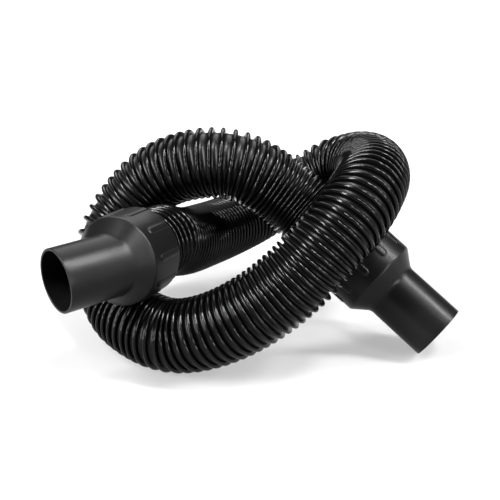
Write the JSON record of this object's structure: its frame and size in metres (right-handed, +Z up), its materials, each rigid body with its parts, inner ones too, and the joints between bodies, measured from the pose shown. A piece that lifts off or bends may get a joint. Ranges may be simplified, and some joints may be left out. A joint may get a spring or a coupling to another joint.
{
  "type": "vacuum hose",
  "caption": "Loosely knotted ribbed black suction hose with swivelling dark grey cuffs, one with an angled spigot and one straight.",
  "frame": {"origin": "on the floor that the knotted hose lies on, under the middle of the box round its two cuffs", "axes": "+X from the angled cuff towards the straight cuff, +Y towards the far side of the knot, +Z up"},
  "size_m": [0.2589, 0.2517, 0.14],
  "materials": {
    "hose_vinyl": "glossy black soft vinyl over a sprung wire",
    "cuff_plastic": "satin dark grey moulded plastic",
    "sleeve_plastic": "satin black moulded plastic",
    "seal_rubber": "soft black rubber"
  },
  "bodies": {
    "hose_with_sleeves": {"hose": "hose_vinyl", "left_sleeve": "sleeve_plastic", "left_seal": "seal_rubber", "right_sleeve": "sleeve_plastic", "right_seal": "seal_rubber"},
    "left_cuff": {"left_cuff": "cuff_plastic"},
    "right_cuff": {"right_cuff": "cuff_plastic"}
  },
  "joints": [
    {"name": "left_cuff_swivel", "type": "hinge", "parent": "hose_with_sleeves", "child": "left_cuff", "pos_m": [-0.0745, 0.0064, 0.0752], "axis": [-0.4216, -0.9041, 0.0698], "continuous": true},
    {"name": "right_cuff_swivel", "type": "hinge", "parent": "hose_with_sleeves", "child": "right_cuff", "pos_m": [0.0582, 0.0366, 0.0616], "axis": [0.7076, -0.3922, -0.5878], "continuous": true}
  ]
}
